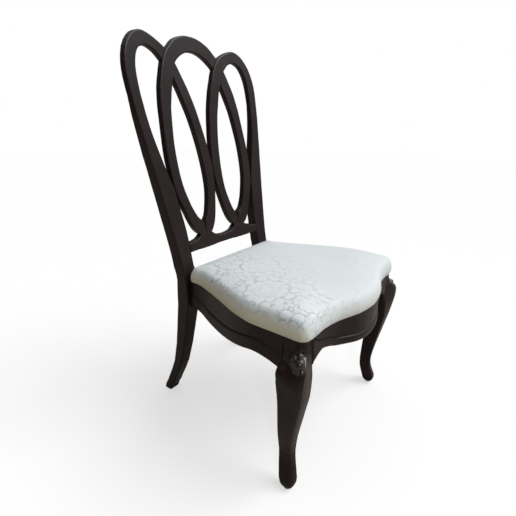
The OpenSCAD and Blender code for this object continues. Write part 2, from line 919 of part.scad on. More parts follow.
leg_foot = front_leg_shares[len(front_leg_shares) - 1];
leg_foot_x = seat_half + (2 * leg_foot[1] + leg_foot[2] + leg_foot[4]) / 4 * leg_block;
leg_foot_y = block_y + (2 * leg_foot[3] + leg_foot[5] + leg_foot[6]) / 4 * leg_block;
leg_foot_z = leg_foot[0] * seat_z;

module front_leg() {
    difference() {
        loft([for (r = fair(front_leg_shares, leg_n, 7)) leg_ring(r)]);
        side_front_dowels(bore_d, bore_l);
        front_dowels(bore_d, bore_l);
        translate([leg_foot_x, leg_foot_y, 0])
            cylinder(d = nail_d + 2 * bore_fit, h = leg_foot_z + nail_l + end_room);
    }
}

module front_leg_right() {
    color(ebony)
        front_leg();
}

module front_leg_left() {
    color(ebony)
        mirror([1, 0, 0])
            front_leg();
}

// Corner blocks. The inner faces of the rails are taken at the blocks' ends
side_in_x = seat_half - rail_t - 2 * wood_gap;
front_in_y = block_y + rail_t + 2 * wood_gap;
front_slope_share = 0.085;
front_slope = front_slope_share * front_bow;
rear_in_x = side_start_x - rail_t - 2 * wood_gap;
rear_in_y = back_rail_y - wood_gap;

front_block = [
    [side_in_x, block_rear_y + wood_gap],
    [side_in_x, block_rear_y + block_side],
    [block_in_x - block_front, front_in_y - front_slope + wood_gap],
    [block_in_x - wood_gap, front_in_y],
    [block_in_x - wood_gap, block_rear_y + wood_gap]
];
rear_block = [
    [rear_in_x, post_face_y - wood_gap],
    [rear_in_x, post_face_y - block_rear],
    [post_in_x - block_back, rear_in_y],
    [post_in_x, rear_in_y],
    [post_in_x, post_face_y - wood_gap]
];

// A point on the long face of a block, at share t from its side rail end
function block_face(b, t) = lerp(b[1], b[2], t);
front_screw_shares = [0.27, 0.70];
rear_screw_shares = [0.30, 0.62];
front_a = block_face(front_block, front_screw_shares[0]);
front_b = block_face(front_block, front_screw_shares[1]);
rear_a = block_face(rear_block, rear_screw_shares[0]);
rear_b = block_face(rear_block, rear_screw_shares[1]);
sink_share = 0.75;
sink = screw_head_d * sink_share;
// Seat screws: share along the long face, then towards the corner
seat_front_shares = [0.5, 0.5];
seat_rear_shares = [0.31, 0.24];
seat_front_at = lerp(block_face(front_block, seat_front_shares[0]),
    [block_in_x, block_rear_y], seat_front_shares[1]);
seat_rear_at = lerp(block_face(rear_block, seat_rear_shares[0]),
    [post_in_x, post_face_y], seat_rear_shares[1]);

// A screw along x or y from a sunk seat in the block's long face to its end
module x_screw(p, end_x, d, extra) {
    rod([p[0] + sink, p[1], block_mid_z], [end_x + extra, p[1], block_mid_z], d);
}
module y_screw(p, end_y, d, extra) {
    s = sign(end_y - p[1]);
    rod([p[0], p[1] + s * sink, block_mid_z], [p[0], end_y + s * extra, block_mid_z], d);
}
module x_head(p, grow) {
    rod([p[0] + sink - screw_head_t - grow, p[1], block_mid_z], [p[0] + sink, p[1], block_mid_z],
        screw_head_d + grow);
}
module y_head(p, s, grow) {
    rod([p[0], p[1] + s * (sink - screw_head_t - grow), block_mid_z],
        [p[0], p[1] + s * sink, block_mid_z], screw_head_d + grow);
}

front_side_end = side_in_x + screw_bite;
front_front_end = front_in_y - front_slope - screw_bite;
rear_side_end = rear_in_x + screw_bite;
rear_back_end = rear_in_y + screw_bite;

module block_side_screw(d, extra) {
    x_screw(front_a, front_side_end, d, extra);
}
module block_front_screw(d, extra) {
    y_screw(front_b, front_front_end, d, extra);
}
module rear_side_screw(d, extra) {
    x_screw(rear_a, rear_side_end, d, extra);
}
module rear_back_screw(d, extra) {
    y_screw(rear_b, rear_back_end, d, extra);
}

hole_room = 2 * bore_fit;

module corner_block(outline) {
    translate([0, 0, block_top_z - block_h])
        linear_extrude(height = block_h)
            polygon(outline);
}

module front_corner_block() {
    difference() {
        corner_block(front_block);
        screw_seat_x(front_a);
        screw_seat_y(front_b, -1);
        seat_screw_hole(seat_front_at);
    }
}

module rear_corner_block() {
    difference() {
        corner_block(rear_block);
        screw_seat_x(rear_a);
        screw_seat_y(rear_b, 1);
        seat_screw_hole(seat_rear_at);
    }
}

module screw_seat_x(p) {
    rod([p[0], p[1], block_mid_z], [p[0] + rail_dowel_l, p[1], block_mid_z], screw_d + hole_room);
    rod([p[0] - rail_dowel_l, p[1], block_mid_z], [p[0] + sink, p[1], block_mid_z],
        screw_head_d + hole_room);
}
module screw_seat_y(p, s) {
    rod([p[0], p[1], block_mid_z], [p[0], p[1] + s * rail_dowel_l, block_mid_z], screw_d + hole_room);
    rod([p[0], p[1] - s * rail_dowel_l, block_mid_z], [p[0], p[1] + s * sink, block_mid_z],
        screw_head_d + hole_room);
}

module seat_screw_hole(p) {
    translate([p[0], p[1], block_top_z - block_h])
        cylinder(d = screw_d + hole_room, h = block_h);
    translate([p[0], p[1], block_top_z - block_h])
        cylinder(d = screw_head_d + hole_room, h = screw_head_t + end_room);
}

module block_front_right() {
    color(bare_wood)
        front_corner_block();
}
module block_front_left() {
    color(bare_wood)
        mirror([1, 0, 0])
            front_corner_block();
}
module block_rear_right() {
    color(bare_wood)
        rear_corner_block();
}
module block_rear_left() {
    color(bare_wood)
        mirror([1, 0, 0])
            rear_corner_block();
}

module block_screws() {
    color(steel)
        both_sides() {
            block_side_screw(screw_d, 0);
            x_head(front_a, 0);
            block_front_screw(screw_d, 0);
            y_head(front_b, -1, 0);
            rear_side_screw(screw_d, 0);
            x_head(rear_a, 0);
            rear_back_screw(screw_d, 0);
            y_head(rear_b, 1, 0);
        }
}

// Seat screws, up through the blocks into the board
board_z = seat_z + cover_t + soft_gap;
board_bite_shares = [0.75, 0.85];
seat_screw_top = board_z + board_bite_shares[0] * board_t;

module seat_screw(p) {
    translate([p[0], p[1], block_top_z - block_h + end_room]) {
        cylinder(d = screw_head_d, h = screw_head_t);
        cylinder(d = screw_d, h = seat_screw_top - block_top_z + block_h - end_room);
    }
}

module seat_screws() {
    color(steel)
        both_sides() {
            seat_screw(seat_front_at);
            seat_screw(seat_rear_at);
        }
}

module seat_rail_dowels() {
    color(bare_wood)
        both_sides() {
            side_rear_dowels(rail_dowel_d, rail_dowel_l);
            side_front_dowels(rail_dowel_d, rail_dowel_l);
            front_dowels(rail_dowel_d, rail_dowel_l);
            back_rail_dowels(rail_dowel_d, rail_dowel_l);
        }
}

module back_dowels() {
    color(bare_wood)
        both_sides() {
            three_row_dowel(stile_joint(), back_dowel_d, back_dowel_l);
            three_row_dowel(outer_joint(), back_dowel_d, back_dowel_l);
            three_row_dowel(middle_joint(), back_dowel_d, back_dowel_l);
            end_dowel(back_dowel_d, back_dowel_l);
        }
}

module foot_dowels() {
    color(bare_wood)
        both_sides()
            for (x = foot_xs)
                foot_dowel(x, foot_dowel_d, foot_dowel_l);
}

// Slip seat. Half of the rails' outer line, from the back's middle round to
// the front's middle
rear_line_y = post_face_y - soft_gap - cushion_over;
seat_side = fair([
    for (r = tail(side_plan_shares))
        [lerp(side_start_x, seat_half, r[1]), post_face_y - r[0] * seat_d]
], 2, 2);
seat_front = [for (r = tail(front_plan_shares)) [r[0] * front_half, block_y - r[1] * front_bow]];
rear_corner_share = 0.3;
rear_corner = rear_corner_share * cushion_round;
half_line = concat(
    [
        [0.5 * side_start_x, rear_line_y],
        [side_start_x - rear_corner, rear_line_y],
        [side_start_x - 0.25 * rear_corner, rear_line_y - 0.25 * rear_corner],
        [side_start_x, rear_line_y - rear_corner]
    ],
    seat_side,
    [for (c = seat_corner_shares) [seat_half + c[0] * leg_block, block_y + c[1] * leg_block]],
    seat_front
);
mirrored_line = [
    for (i = [len(half_line) - 2:-1:0])
        [-half_line[i][0], half_line[i][1]]
];
seat_line = concat([[0, rear_line_y]], half_line, mirrored_line);
seat_mid_share = 0.48;
seat_mid_y = post_face_y - seat_mid_share * seat_d;

function grown(line, d) =
    let (n = len(line))
    [
        for (i = [0:n - 1])
            let (t = unit2(line[(i + 1) % n] - line[(i + n - 1) % n]))
            line[i] + d * [-t[1], t[0]]
    ];
function at_height(line, z) = [for (p = line) [p[0], p[1], z]];
function shrunk(line, s) = [for (p = line) [p[0] * s, lerp(seat_mid_y, p[1], s)]];

side_max = cushion_side_shares[len(cushion_side_shares) - 1];

// Rings of the cushion, each drawn in by "inset" from the outer face, at the
// chosen rows of its side and crown
function cushion_rings(base_z, inset, rows, crown) = concat(
    [
        for (i = rows)
            let (r = cushion_side_shares[i])
            at_height(grown(seat_line, cushion_over + r[1] * cushion_round - inset),
                max(base_z, seat_z + r[0] * cushion_h - inset * r[0]))
    ],
    [
        for (i = crown)
            let (r = cushion_crown_shares[i])
            at_height(shrunk(grown(seat_line, cushion_over + side_max[1] * cushion_round - inset), r[0]),
                seat_z + r[1] * cushion_h - inset)
    ]
);

under_z = seat_z + soft_gap;
lip_line = shrunk(seat_line, 1 - cover_lip / seat_half);

module seat_cover() {
    outer = cushion_rings(under_z, 0, [0:6], [0:2]);
    inner = cushion_rings(under_z + cover_t, cover_t, [0, 2, 4, 6], [0, 1]);
    lip_low = at_height(lip_line, under_z);
    lip_high = at_height(lip_line, under_z + cover_t);
    color(damask)
        pole_loft(
            [0, seat_mid_y, seat_z + cushion_h - cover_t],
            concat(reversed(inner), [lip_high, lip_low], outer),
            [0, seat_mid_y, seat_z + cushion_h]
        );
}

module seat_foam() {
    inset = cover_t + soft_gap;
    rings = cushion_rings(board_z + board_t + soft_gap, inset, [2, 4, 6], [0, 1]);
    color(foam_tone)
        pole_loft(
            [0, seat_mid_y, board_z + board_t + soft_gap],
            concat([at_height(grown(seat_line, -inset), board_z + board_t + soft_gap)], rings),
            [0, seat_mid_y, seat_z + cushion_h - inset]
        );
}

side_first = cushion_side_shares[0];
board_out = cushion_over + side_first[1] * cushion_round - cover_t - soft_gap;

module seat_board() {
    color(bare_wood)
        difference() {
            translate([0, 0, board_z])
                linear_extrude(height = board_t)
                    polygon(grown(seat_line, board_out));
            both_sides()
                for (p = [seat_front_at, seat_rear_at])
                    translate([p[0], p[1], board_z])
                        cylinder(d = screw_d + hole_room, h = board_bite_shares[1] * board_t);
        }
}

module dust_cover() {
    color(cambric)
        difference() {
            translate([0, 0, board_z - dust_t])
                linear_extrude(height = dust_t)
                    polygon(shrunk(seat_line, 1 - (cover_lip + 2 * soft_gap) / seat_half));
            both_sides()
                for (p = [seat_front_at, seat_rear_at])
                    translate([p[0], p[1], board_z - 2 * dust_t])
                        cylinder(d = screw_d + hole_room, h = 3 * dust_t);
        }
}

module foot_glide(x, y, z) {
    translate([x, y, 0]) {
        cylinder(d = glide_d, h = z);
        cylinder(d = nail_d, h = z + nail_l);
    }
}

module foot_glides() {
    color(steel)
        both_sides() {
            foot_glide(leg_foot_x, leg_foot_y, leg_foot_z);
            foot_glide(post_foot_x, post_foot_y, post_foot_z);
        }
}

rear_post_left();
rear_post_right();
crest_left_arch();
crest_middle_arch();
crest_right_arch();
strand_left_outer();
strand_left_inner();
strand_right_inner();
strand_right_outer();
back_cross_rail();
seat_back_rail();
side_rail_left();
side_rail_right();
front_rail();
front_leg_left();
front_leg_right();
block_front_left();
block_front_right();
block_rear_left();
block_rear_right();
block_screws();
seat_screws();
seat_rail_dowels();
back_dowels();
foot_dowels();
seat_board();
seat_foam();
seat_cover();
dust_cover();
foot_glides();
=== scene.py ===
import json
import math

import bmesh
import bpy
from mathutils import Matrix, Vector
from mathutils.bvhtree import BVHTree


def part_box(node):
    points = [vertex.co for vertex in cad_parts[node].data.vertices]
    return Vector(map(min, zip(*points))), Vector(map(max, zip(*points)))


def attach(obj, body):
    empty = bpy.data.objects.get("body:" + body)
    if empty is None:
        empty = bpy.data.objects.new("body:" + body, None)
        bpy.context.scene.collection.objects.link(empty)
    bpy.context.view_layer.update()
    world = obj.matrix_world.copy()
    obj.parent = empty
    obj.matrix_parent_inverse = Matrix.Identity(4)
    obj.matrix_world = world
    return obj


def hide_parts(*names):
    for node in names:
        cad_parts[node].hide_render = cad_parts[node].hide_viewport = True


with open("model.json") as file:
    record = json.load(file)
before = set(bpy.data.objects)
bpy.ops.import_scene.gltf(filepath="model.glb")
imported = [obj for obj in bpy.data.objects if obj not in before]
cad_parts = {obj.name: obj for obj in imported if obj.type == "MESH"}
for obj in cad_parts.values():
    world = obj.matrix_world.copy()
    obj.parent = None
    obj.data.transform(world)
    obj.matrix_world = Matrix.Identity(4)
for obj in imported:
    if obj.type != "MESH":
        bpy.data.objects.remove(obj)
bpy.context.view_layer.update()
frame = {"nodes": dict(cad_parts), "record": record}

nodes = frame["nodes"]
scene = bpy.context.scene
mm = 0.001


# colour as seen on screen, 0 to 255, turned into what a shader wants
def tone(red, green, blue):
    def lin(value):
        c = value / 255
        return c / 12.92 if c <= 0.04045 else ((c + 0.055) / 1.055) ** 2.4
    return (lin(red), lin(green), lin(blue), 1.0)


# a shader socket that takes part in plain sums
class Tap:
    def __init__(self, net, socket):
        self.net = net
        self.socket = socket

    def math(self, operation, *others):
        return self.net.add("ShaderNodeMath", {"operation": operation}, dict(enumerate((self, *others))))

    # the same with this socket second
    def mathAfter(self, operation, first):
        return self.net.add("ShaderNodeMath", {"operation": operation}, {0: first, 1: self})

    def __add__(self, other):
        return self.math("ADD", other)

    def __radd__(self, other):
        return self.mathAfter("ADD", other)

    def __sub__(self, other):
        return self.math("SUBTRACT", other)

    def __rsub__(self, other):
        return self.mathAfter("SUBTRACT", other)

    def __mul__(self, other):
        return self.math("MULTIPLY", other)

    def __rmul__(self, other):
        return self.mathAfter("MULTIPLY", other)

    def __truediv__(self, other):
        return self.math("DIVIDE", other)

    def __rtruediv__(self, other):
        return self.mathAfter("DIVIDE", other)

    def __pow__(self, other):
        return self.math("POWER", other)

    def __rpow__(self, other):
        return self.mathAfter("POWER", other)

    def __abs__(self):
        return self.math("ABSOLUTE")

    def sin(self):
        return self.math("SINE")

    def cos(self):
        return self.math("COSINE")

    def least(self, other):
        return self.math("MINIMUM", other)

    def most(self, other):
        return self.math("MAXIMUM", other)

    # distance from the nearest whole number, from -0.5 to 0.5
    def around(self):
        return (self + 0.5).math("FRACT") - 0.5

    # 1 where this is 1, and less by amount where it is 0
    def easedBy(self, amount):
        return self * amount + (1 - amount)

    # 0 below low, 1 above high, smooth between
    def rise(self, low, high):
        return self.net.add("ShaderNodeMapRange", {"interpolation_type": "SMOOTHSTEP"},
                            {"Value": self, "From Min": low, "From Max": high})


# the node tree of a material or of the world
class Net:
    def __init__(self, owner):
        self.owner = owner
        owner.use_nodes = True
        self.tree = owner.node_tree
        self.tree.nodes.clear()

    # one node of any type, its settings and what goes in its sockets
    def add(self, kind, settings=None, values=None, out=0):
        made = self.tree.nodes.new(kind)
        for key, value in (settings or {}).items():
            setattr(made, key, value)
        for key, value in (values or {}).items():
            if isinstance(value, Tap):
                self.tree.links.new(value.socket, made.inputs[key])
            else:
                made.inputs[key].default_value = value
        return None if out is None else Tap(self, made.outputs[out])

    # one part of a vector: 0, 1 or 2
    def part(self, vector, number):
        return self.add("ShaderNodeSeparateXYZ", None, {"Vector": vector}, out=number)

    def noise(self, place, scale, detail, **others):
        size = "4D" if "W" in others else "3D"
        values = {"Vector": place, "Scale": scale, "Detail": detail, **others}
        return self.add("ShaderNodeTexNoise", {"noise_dimensions": size}, values)

    def mix(self, factor, first, second):
        return self.add("ShaderNodeMix", {"data_type": "RGBA"}, {0: factor, 6: first, 7: second}, out=2)

    # 1 where the backdrop is looked at, straight or through glass, and 0 where it only gives light;
    # satin wood mirrors a share of it
    def looked(self, satinShare):
        straight = self.add("ShaderNodeLightPath", out="Is Camera Ray")
        mirrored = self.add("ShaderNodeLightPath", out="Is Glossy Ray") * satinShare
        through = self.add("ShaderNodeLightPath", out="Is Transmission Ray")
        return (straight + mirrored + through).least(1.0)

    def finish(self, shader, end="ShaderNodeOutputMaterial"):
        self.add(end, None, {"Surface": shader}, out=None)
        return self.owner


def newNet(name):
    return Net(bpy.data.materials.new(name))


# wood; lengths in metres

ebony = {
    "dark": tone(19, 11, 12),
    "light": tone(35, 21, 23),
    "roughness": 0.32,
    "unevenness": 0.12,
    "grainAlong": 6,
    "grainAcross": 90,
    "grainDepth": 0.05,
    "grainHeight": 0.0006,
    "grainScale": 3.0,
    "grainRise": (0.35, 0.7),
    "grainShare": 0.55,
    "cloudScale": 9.0,
    "cloudRise": (0.3, 0.7),
    "coat": 0.05,
    "coatRoughness": 0.09,
    "shine": 0.18,
    "worn": (0.2815, -0.2715, 0.381),
    "wornReach": (0.021, 0.026),
    "wornCoat": 0.9,
}


# the bosses on the knees are rubbed to a shine
def wornCoat(net, place):
    x = abs(net.part(place, 0)) - ebony["worn"][0]
    y = net.part(place, 1) - ebony["worn"][1]
    z = net.part(place, 2) - ebony["worn"][2]
    away = (x * x + y * y + z * z) ** 0.5
    return (1 - away.rise(*ebony["wornReach"])) * (ebony["wornCoat"] - ebony["coat"]) + ebony["coat"]


def ebonyWood(name, along, rubbed=False):
    net = newNet(name)
    place = net.add("ShaderNodeTexCoord", out="Object")
    stretch = [ebony["grainAlong"] if axis == along else ebony["grainAcross"] for axis in "xyz"]
    grainPlace = net.add("ShaderNodeMapping", None, {"Vector": place, "Scale": stretch})
    grain = net.noise(grainPlace, ebony["grainScale"], 5.0, Roughness=0.6)
    cloud = net.noise(place, ebony["cloudScale"], 2.0)
    streaks = grain.rise(*ebony["grainRise"]) * ebony["grainShare"]
    shade = streaks + cloud.rise(*ebony["cloudRise"]) * (1 - ebony["grainShare"])
    bump = net.add("ShaderNodeBump", None, {
        "Strength": ebony["grainDepth"], "Distance": ebony["grainHeight"], "Height": grain})
    return net.finish(net.add("ShaderNodeBsdfPrincipled", None, {
        "Base Color": net.mix(shade, ebony["dark"], ebony["light"]),
        "Roughness": cloud * ebony["unevenness"] + ebony["roughness"],
        "Normal": bump,
        "Coat Weight": wornCoat(net, place) if rubbed else ebony["coat"],
        "Coat Roughness": ebony["coatRoughness"],
        "Specular IOR Level": ebony["shine"]}))


woodAlong = {axis: ebonyWood("ebony_" + axis, axis) for axis in "xyz"}
carvedWood = ebonyWood("ebony_carved", "z", rubbed=True)
alongX = ("back_cross_rail", "seat_back_rail", "front_rail", "crest_middle_arch")
alongY = ("side_rail_left", "side_rail_right")


plainLook = {
    "cloudScale": 40.0,
    "darkest": 0.85,
}


# a finish with a slightly cloudy colour
def plainMaterial(name, colour, roughness, metallic=0.0):
    net = newNet(name)
    cloud = net.noise(net.add("ShaderNodeTexCoord", out="Object"), plainLook["cloudScale"], 3.0)
    low = tuple(c * plainLook["darkest"] for c in colour[:3]) + (1.0,)
    return net.finish(net.add("ShaderNodeBsdfPrincipled", None, {
        "Base Color": net.mix(cloud, low, colour), "Roughness": roughness, "Metallic": metallic}))


slots = {
    "bare_wood": plainMaterial("bare_wood", tone(176, 142, 100), 0.7),
    "steel": plainMaterial("zinc_steel", tone(176, 176, 172), 0.35, 1.0),
    "foam": plainMaterial("yellow_foam", tone(226, 214, 170), 0.95),
    "cambric": plainMaterial("black_cambric", tone(26, 26, 28), 0.9),
}
slotOf = {row["node"]: row["material_slot"] for row in frame["record"]["subparts"]}


# round between faces that meet at less than this angle, sharp at the rest
def smoothByAngle(piece, degrees):
    mesh = piece.data
    mesh.polygons.foreach_set("use_smooth", [True] * len(mesh.polygons))
    work = bmesh.new()
    work.from_mesh(mesh)
    for edge in work.edges:
        edge.smooth = len(edge.link_faces) == 2 and edge.calc_face_angle(0) < math.radians(degrees)
    work.to_mesh(mesh)
    work.free()


for name, piece in nodes.items():
    axis = "x" if name in alongX else "y" if name in alongY else "z"
    piece.data.materials.clear()
    piece.data.materials.append(slots.get(slotOf[name], woodAlong[axis]))
    for polygon in piece.data.polygons:
        polygon.material_index = 0
print("wood, steel and hidden pieces have their materials")


# slip seat cushion; lengths in metres

cushionLook = {
    "voxel": 0.0045,
    "start": 0.002,
    "startFade": 0.01,
    "pressure": 4.0,
    "stiffness": 20,
    "steps": 6,
    "frames": 20,
    "swell": 0.007,
    "even": 3,
    "below": 0.005,
    "bottomHigh": 0.0005,
    "rimHigh": 0.0015,
    "middleHigh": 0.02,
    "joinWithin": 0.00001,
    "lowEdge": 0.0008,
    "band": 0.0145,
    "bandFade": 0.016,
    "allow": 0.001,
    "clear": 0.0003,
    "clearBelow": 0.0001,
    "underGap": 0.0005,
    "underReach": 0.01,
    "softer": {"roll": 6, "top": 40},
    "softerFade": 0.006,
    "flatTop": (0.88, 0.96),
    "roll": 0.012,
    "sharpAngle": 80,
    # how much higher the pad stands at each y, from behind to the front
    "fuller": ((0.10, 0.001), (-0.04, 0.003), (-0.11, 0.0045), (-0.19, 0.0065), (-0.25, 0.0035),
               (-0.30, 0.0)),
    # not at all before the first distance from the middle, and in full from the second on
    "fullerAcross": (0.06, 0.20),
}

# lengths in millimetres; a scale is a noise texture's, so a larger one is finer
damaskLook = {
    "ground": tone(168, 176, 181),
    "figure": tone(208, 214, 216),
    # the tint of the painted warm bounce light on the sides
    "paintedBounceTint": tone(206, 202, 186),
    "repeatWide": 250.0,
    "repeatLong": 232.0,
    "shift": (0.80, 0.56),
    "sway": 19,
    "swayScale": 48.0,
    "ragged": 9,
    "raggedScale": 170.0,
    "medallion": (56.0, 50.0),
    "blossom": (27.0, 25.0),
    "bud": (15.0, 14.0),
    # petals and leaves of each
    "petals": {"medallion": (11, 13), "blossom": (7, 9), "bud": (5, 0)},
    "budsAcross": (0.27, 0.73),
    "budsAlong": (0.25, 0.75),
    "veinDepth": 0.5,
    "leafScale": 62.0,
    "leafRise": (0.43, 0.55),
    "leafShare": 0.8,
    # the painted sheen that washes the figure out towards the front and the +x side
    "paintedSheenSlant": 0.5,
    "paintedSheenRise": (-140, 120),
    "paintedSheenShare": 0.85,
    "cloudScale": 11.0,
    "cloudRise": (0.35, 0.65),
    "cloudShare": 0.3,
    "wornScale": 60.0,
    "wornRise": (0.40, 0.56),
    "wornShare": 0.75,
    # where the painted warm bounce light lies: away from the top, on the sides facing x
    "paintedBounceTop": (0.0, 0.5),
    "paintedBounceSide": (0.1, 0.9),
    "threadScale": 1400.0,
    "threadHeight": 0.35,
    "figureHeight": 0.6,
    "weaveHeight": 0.8,
    "weaveDepth": 0.4,
    "roughness": 0.85,
    "satin": 0.2,
    "shine": 0.25,
    "sheen": 0.08,
    "sheenRoughness": 0.5,
}

# one flower head, where 1 is its own size; a pair says where something fades in or out
flowerForm = {
    "rim": 0.82,
    "lobes": 0.20,
    "fade": (-0.03, 0.03),
    "veinAcross": (0.08, 0.32),
    "veinOut": (0.60, 0.72),
    "ring": 0.62,
    "ringFade": (0.015, 0.07),
    "core": 0.28,
    "coreLobes": 0.10,
    "coreFade": (0.02, 0.08),
    "room": (0.05, 0.15),
    "leafRim": 1.14,
    "leafTips": 0.34,
    "leafTurn": 0.6,
    "leafGap": (0.08, 0.15),
    "leafAcross": (0.12, 0.42),
    "leafRoom": (0.04, 0.12),
}


# the light figure: flower heads of three sizes, with leaves between them
def damaskFigure(net, place):
    look, form = damaskLook, flowerForm
    sideways = net.noise(place, look["swayScale"], 5.0, Roughness=0.72) - 0.5
    lengthways = net.noise(place, look["swayScale"], 5.0, Roughness=0.72, W=7.0) - 0.5
    fine = (net.noise(place, look["raggedScale"], 2.0) - 0.5) * look["ragged"]
    across = net.part(place, 0) * (1 / mm) + sideways * look["sway"] + fine
    along = net.part(place, 1) * (1 / mm) + lengthways * look["sway"] - fine
    u = across / look["repeatWide"] + look["shift"][0]
    v = along / look["repeatLong"] + look["shift"][1]

    # a lobed head with dark veins and rings, and a wreath of leaves if it has any;
    # gives the light figure and the area that it covers
    def flower(kind, du, dv):
        petals, leaves = look["petals"][kind]
        x = (u + du).around() * (look["repeatWide"] / look[kind][0])
        y = (v + dv).around() * (look["repeatLong"] / look[kind][1])
        r = (x * x + y * y) ** 0.5
        angle = y.math("ARCTAN2", x)
        petal = abs((angle * (petals / 2)).cos())
        edge = (petal ** 0.5) * form["lobes"] + form["rim"]
        body = 1 - (r - edge).rise(*form["fade"])
        vein = (1 - petal.rise(*form["veinAcross"])) * r.rise(*form["veinOut"])
        ring = 1 - abs(r - edge * form["ring"]).rise(*form["ringFade"])
        inner = abs((angle * (petals / 2)).sin())
        core = 1 - abs(r - (inner * form["coreLobes"] + form["core"])).rise(*form["coreFade"])
        head = body * (1 - vein.most(ring).most(core) * look["veinDepth"])
        if not leaves:
            return head, 1 - (r - edge).rise(*form["room"])
        leaf = abs((angle * (leaves / 2) + form["leafTurn"]).cos())
        tip = (leaf ** 0.6) * form["leafTips"] + form["leafRim"]
        wreath = (1 - (r - tip).rise(*form["fade"])) * (r - edge).rise(*form["leafGap"])
        wreath = wreath * leaf.rise(*form["leafAcross"])
        return head.most(wreath), 1 - (r - tip).rise(*form["leafRoom"])

    heads = [flower("medallion", 0.0, 0.0), flower("medallion", 0.5, 0.5),
             flower("blossom", 0.5, 0.0), flower("blossom", 0.0, 0.5)]
    heads += [flower("bud", du, dv) for dv in look["budsAlong"] for du in look["budsAcross"]]
    figure, covered = heads[0]
    for head, area in heads[1:]:
        figure = figure.most(head)
        covered = covered.most(area)
    leafage = net.noise(place, look["leafScale"], 4.0, Roughness=0.62, Distortion=1.3)
    leafage = leafage.rise(*look["leafRise"]).easedBy(look["leafShare"])
    return figure.most(leafage * (1 - covered))


def damask():
    net = newNet("damask")
    look = damaskLook
    place = net.add("ShaderNodeUVMap", {"uv_map": "weave"})
    # the satin figure is worn in places; towards the front and the +x side a painted sheen, light
    # glancing off the satin, washes it out
    worn = net.noise(place, look["wornScale"], 2.0).rise(*look["wornRise"])
    cloud = net.noise(place, look["cloudScale"], 1.0).rise(*look["cloudRise"])
    # painted sheen: 0 behind and on the -x side, rising towards the front and the +x side
    away = net.part(place, 0) - net.part(place, 1) * look["paintedSheenSlant"]
    away = away.rise(*(reach * mm for reach in look["paintedSheenRise"]))
    # fade holds the random cloud and the real wear, times the painted sheen
    fade = (1 - away * look["paintedSheenShare"]) * cloud.easedBy(look["cloudShare"])
    fade = fade * worn.easedBy(look["wornShare"])
    mark = 1 - (1 - damaskFigure(net, place)) * fade
    thread = net.noise(place, look["threadScale"], 1.0)
    # painted warm bounce light: the sides facing x take a warm tint, as if lit by light thrown back from
    # the floor, and the front less
    facing = net.add("ShaderNodeTexCoord", out="Normal")
    paintedWarmBounce = 1 - net.part(facing, 2).rise(*look["paintedBounceTop"])
    paintedWarmBounce = paintedWarmBounce * abs(net.part(facing, 0)).rise(*look["paintedBounceSide"])
    colour = net.mix(mark, look["ground"], look["figure"])
    bump = net.add("ShaderNodeBump", None, {
        "Strength": look["weaveDepth"],
        "Distance": look["weaveHeight"] * mm,
        "Height": mark * look["figureHeight"] + thread * look["threadHeight"]})
    return net.finish(net.add("ShaderNodeBsdfPrincipled", None, {
        # the base colour takes the painted warm bounce light on the sides
        "Base Color": net.mix(paintedWarmBounce, colour, look["paintedBounceTint"]),
        "Roughness": look["roughness"] - mark * look["satin"],
        "Normal": bump,
        "Specular IOR Level": look["shine"],
        "Sheen Weight": look["sheen"],
        "Sheen Roughness": look["sheenRoughness"]}))


# a new piece with a copy of a node's mesh
def copyOf(name, node):
    mesh = bpy.data.meshes.new(name)
    work = bmesh.new()
    work.from_mesh(nodes[node].data)
    work.to_mesh(mesh)
    work.free()
    piece = bpy.data.objects.new(name, mesh)
    scene.collection.objects.link(piece)
    return piece


def applyAll(piece):
    depsgraph = bpy.context.evaluated_depsgraph_get()
    done = bpy.data.meshes.new_from_object(piece.evaluated_get(depsgraph))
    piece.modifiers.clear()
    piece.data = done


def remesh(piece, voxel):
    even = piece.modifiers.new("even", "REMESH")
    even.mode = "VOXEL"
    even.voxel_size = voxel
    applyAll(piece)


def smooth(piece, iterations, group=""):
    even = piece.modifiers.new("smooth", "SMOOTH")
    even.iterations = iterations
    even.factor = 0.5
    even.vertex_group = group
    applyAll(piece)


def treeOf(mesh):
    corners = [v.co.copy() for v in mesh.vertices]
    return BVHTree.FromPolygons(corners, [tuple(f.vertices) for f in mesh.polygons])


# 0 below low, 1 above high, smooth between
def smooth01(value, low, high):
    t = min(1.0, max(0.0, (value - low) / (high - low)))
    return t * t * (3 - 2 * t)


# the outer face of the cover alone, closed underneath
def coverBody():
    piece = copyOf("seat_cushion", "seat_cover")
    low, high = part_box("seat_cover")
    middle = Vector(((low.x + high.x) / 2, (low.y + high.y) / 2, low.z + cushionLook["middleHigh"]))
    work = bmesh.new()
    work.from_mesh(piece.data)
    inner = []
    for face in work.faces:
        place = face.calc_center_median()
        if face.normal.dot(place - middle) < 0 or place.z < low.z + cushionLook["rimHigh"]:
            inner.append(face)
    bmesh.ops.delete(work, geom=inner, context="FACES")
    bmesh.ops.remove_doubles(work, verts=work.verts, dist=cushionLook["joinWithin"])
    # what doesn't hang together with the topmost face goes too
    outside = {max(work.faces, key=lambda face: face.calc_center_median().z)}
    reached = list(outside)
    while reached:
        near = {face for edge in reached.pop().edges for face in edge.link_faces} - outside
        outside |= near
        reached += near
    bmesh.ops.delete(work, geom=[face for face in work.faces if face not in outside], context="FACES")
    bmesh.ops.holes_fill(work, edges=[e for e in work.edges if e.is_boundary], sides=0)
    bmesh.ops.triangulate(work, faces=work.faces)
    bmesh.ops.recalc_face_normals(work, faces=work.faces)
    work.to_mesh(piece.data)
    work.free()
    return piece


